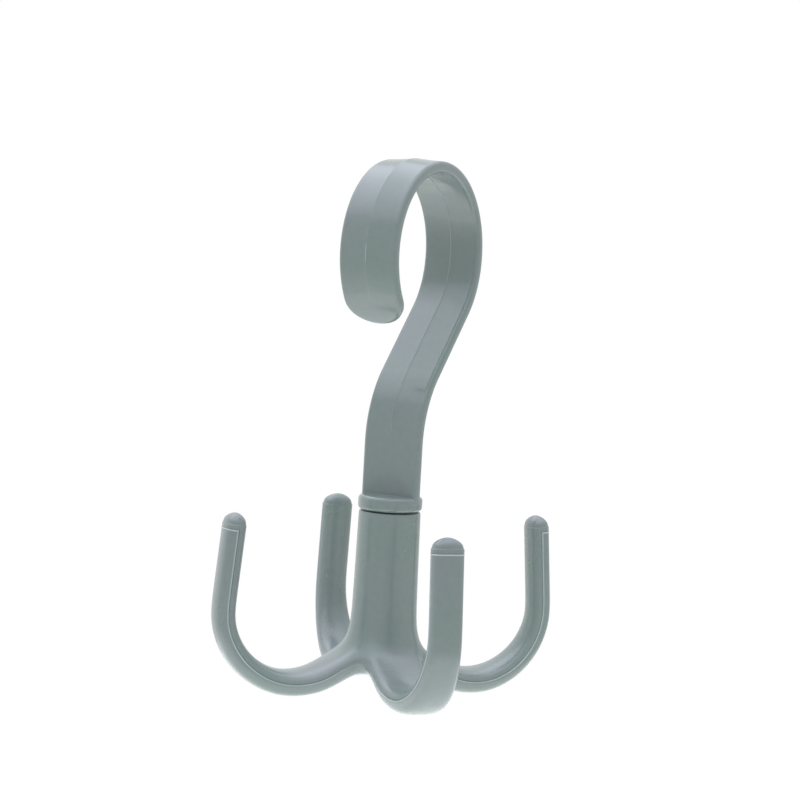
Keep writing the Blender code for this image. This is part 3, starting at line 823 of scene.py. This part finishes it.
for row, rise in ((crest, BEAD_HEIGHT), (foot_row, -STEP_DEPTH)):
    for start in BEAD_STARTS:
        for vertex in claws.data.vertices:
            reach = math.hypot(vertex.co.x - rim.x, vertex.co.y - rim.y)
            vertex.select = vertex.index in row and reach > start
        for edge in claws.data.edges:
            edge.select = all(claws.data.vertices[index].select for index in edge.vertices)
        for face in claws.data.polygons:
            face.select = False
        bpy.ops.object.mode_set(mode="EDIT")
        bpy.ops.transform.shrink_fatten(value=rise / len(BEAD_STARTS))
        bpy.ops.object.mode_set(mode="OBJECT")

# The parting line gets a painted highlight along the leg and the U, fading towards the hub, and the streaks
# run along each arm.
# Both values are made before either is fetched, as making one moves the other.
HIGHLIGHT_FULL_DEPTH = 50 * MM
FADED_DEPTH = 62 * MM
FADED_HIGHLIGHT = 0.3
BEAD_EDGE_HIGHLIGHT = 0.45
CLAW_DULLNESS = 0.22
claws.data.attributes.new("painted_highlight", "FLOAT", "POINT")
claws.data.attributes.new("flow", "FLOAT_VECTOR", "POINT")
painted_highlight = claws.data.attributes["painted_highlight"].data
flow = claws.data.attributes["flow"].data
for vertex, highlight_paint, run in zip(claws.data.vertices, painted_highlight, flow):
    place = vertex.co - rim
    reach = math.hypot(place.x, place.y)
    faded = min(1, max(0, (-place.z - HIGHLIGHT_FULL_DEPTH) / (FADED_DEPTH - HIGHLIGHT_FULL_DEPTH)))
    grown = min(1, max(0, (reach - BEAD_STARTS[0]) / BEAD_STARTS[0]))
    # Painted highlight on the bead's crest and, fainter, on its outer row, faded towards the hub
    shown = (vertex.index in crest) + BEAD_EDGE_HIGHLIGHT * (vertex.index in outer_row)
    highlight_paint.value = shown * (1 + faded * (FADED_HIGHLIGHT - 1)) * grown
    outward = Vector((place.x, place.y, 0)).normalized() * SOCKET_RIM_RADIUS
    run.vector = (outward.x, outward.y, place.z - reach)
claws.data.attributes.remove(claws.data.attributes["outer_half"])
bpy.ops.object.select_all(action="DESELECT")
claws.select_set(True)
bpy.ops.object.shade_smooth_by_angle(angle=CLAW_CREASE)

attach(claws, "claws")
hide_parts("claw_body")
claws.data.materials.append(moulded_plastic("sage_claw_plastic", CLAW_DULLNESS))

# Camera, at the height and turn that the photograph is taken from. Its place is given from the claws' rim,
# straight back along its own line of sight, and then right and up in its own frame.
CAMERA_TURN = math.radians(-60.955)
CAMERA_ELEVATION = math.radians(4.3945)
CAMERA_ROLL = math.radians(3.2362)
CAMERA_DISTANCE = 809.913 * MM
CAMERA_RIGHT = 3.559 * MM
CAMERA_UP = 38.604 * MM
FOCAL_LENGTH_MM = 104.45
SENSOR_WIDTH_MM = 36
turned = Matrix.Rotation(CAMERA_TURN, 4, "Z") @ Matrix.Rotation(math.pi / 2 - CAMERA_ELEVATION, 4, "X")
turned = turned @ Matrix.Rotation(CAMERA_ROLL, 4, "Z")
lens = bpy.data.cameras.new("camera")
lens.lens = FOCAL_LENGTH_MM
lens.sensor_width = SENSOR_WIDTH_MM
camera = bpy.data.objects.new("camera", lens)
bpy.context.scene.collection.objects.link(camera)
camera.matrix_world = (
    Matrix.Translation(rim) @ turned @ Matrix.Translation((CAMERA_RIGHT, CAMERA_UP, CAMERA_DISTANCE))
)
bpy.context.scene.camera = camera

# Plain white floor, a sheet of white acrylic that is lit through from below. The hanger hangs, so the
# floor lies some way under it.
FLOOR_RADIUS = 0.22
FLOOR_SIDES = 96
FLOOR_DROP = 0.06
FLOOR_COLOUR = (0.9, 0.9, 0.9, 1)
FLOOR_ROUGHNESS = 0.9
FLOOR_GLOW_COLOUR = (0.98, 1, 0.83, 1)
FLOOR_GLOW = 0.47
bpy.ops.object.select_all(action="DESELECT")
bpy.ops.mesh.primitive_circle_add(
    vertices=FLOOR_SIDES,
    radius=FLOOR_RADIUS,
    fill_type="NGON",
    location=(0, 0, cad_box[0].z - FLOOR_DROP),
)
floor = bpy.context.object
floor.name = "floor"
acrylic = bpy.data.materials.new("white_acrylic")
acrylic.use_nodes = True
acrylic_shader = acrylic.node_tree.nodes["Principled BSDF"]
acrylic_shader.inputs["Base Color"].default_value = FLOOR_COLOUR
acrylic_shader.inputs["Roughness"].default_value = FLOOR_ROUGHNESS
acrylic_shader.inputs["Emission Color"].default_value = FLOOR_GLOW_COLOUR
acrylic_shader.inputs["Emission Strength"].default_value = FLOOR_GLOW
floor.data.materials.append(acrylic)

# Light of a white studio: a bluish sky of softboxes overhead, strongest behind on the left, over a dimmer
# surround. Each level has four strengths: front right, front left, back right and back left. A pair of
# heights, as the sine of the elevation, says from where to where one level passes into the next.
SURROUND = (0.73, 0.68, 0.81, 1.1)
LOW_SKY = (0.92, 1.3, 1.41, 2.1)
HIGH_SKY = (0.98, 1.6, 1.32, 2.58)
ZENITH = 2.1
BELOW = 1.28
TO_SURROUND = (-0.8, -0.25)
TO_LOW_SKY = (0.575, 0.6)
TO_HIGH_SKY = (0.64, 0.74)
TO_ZENITH = (0.84, 0.94)
TO_BACK = (-0.4, 0.4)
TO_LEFT = (-0.4, 0.4)
SURROUND_TINT = (1, 1, 1, 1)
SKY_TINT = (0.99, 0.98, 1.1, 1)
away = Vector((-math.sin(CAMERA_TURN), math.cos(CAMERA_TURN), 0))
leftward = Vector((-away.y, away.x, 0))
world = bpy.data.worlds.new("studio")
world.use_nodes = True
nodes = world.node_tree.nodes
links = world.node_tree.links
direction = nodes.new("ShaderNodeTexCoord").outputs["Generated"]
split = nodes.new("ShaderNodeSeparateXYZ")
links.new(direction, split.inputs["Vector"])


def along(way):
    """How far the direction of the light points a given way."""
    node = nodes.new("ShaderNodeVectorMath")
    node.operation = "DOT_PRODUCT"
    node.inputs[1].default_value = way
    links.new(direction, node.inputs[0])
    return node.outputs["Value"]


def passing(source, limits):
    """Goes smoothly from nothing to one, as a value passes from one limit to the other."""
    node = nodes.new("ShaderNodeMapRange")
    node.interpolation_type = "SMOOTHSTEP"
    node.inputs["From Min"].default_value, node.inputs["From Max"].default_value = limits
    links.new(source, node.inputs["Value"])
    return node.outputs["Result"]


def blend(share, first, second):
    """Passes from a first light to a second one as the share goes from nothing to one."""
    node = nodes.new("ShaderNodeMix")
    node.data_type = "FLOAT"
    links.new(share, node.inputs["Factor"])
    for socket, value in (("A", first), ("B", second)):
        if isinstance(value, float):
            node.inputs[socket].default_value = value
        else:
            links.new(value, node.inputs[socket])
    return node.outputs["Result"]


backness = passing(along(away), TO_BACK)
leftness = passing(along(leftward), TO_LEFT)


def quarters(front_right, front_left, back_right, back_left):
    """Passes between the strengths of a level's four quarters."""
    return blend(backness, blend(leftness, front_right, front_left), blend(leftness, back_right, back_left))


height = split.outputs["Z"]
over_floor = blend(passing(height, TO_SURROUND), BELOW, quarters(*SURROUND))
high_sky = blend(passing(height, TO_ZENITH), quarters(*HIGH_SKY), ZENITH)
sky = blend(passing(height, TO_HIGH_SKY), quarters(*LOW_SKY), high_sky)
in_sky = passing(height, TO_LOW_SKY)
light = blend(in_sky, over_floor, sky)
seen = nodes.new("ShaderNodeLightPath").outputs["Is Camera Ray"]
tint = nodes.new("ShaderNodeMix")
tint.data_type = "RGBA"
links.new(in_sky, tint.inputs[0])
tint.inputs[6].default_value = SURROUND_TINT
tint.inputs[7].default_value = SKY_TINT
links.new(tint.outputs[2], nodes["Background"].inputs["Color"])
links.new(blend(seen, light, 1.0), nodes["Background"].inputs["Strength"])
bpy.context.scene.world = world
bpy.context.scene.view_settings.view_transform = "Standard"
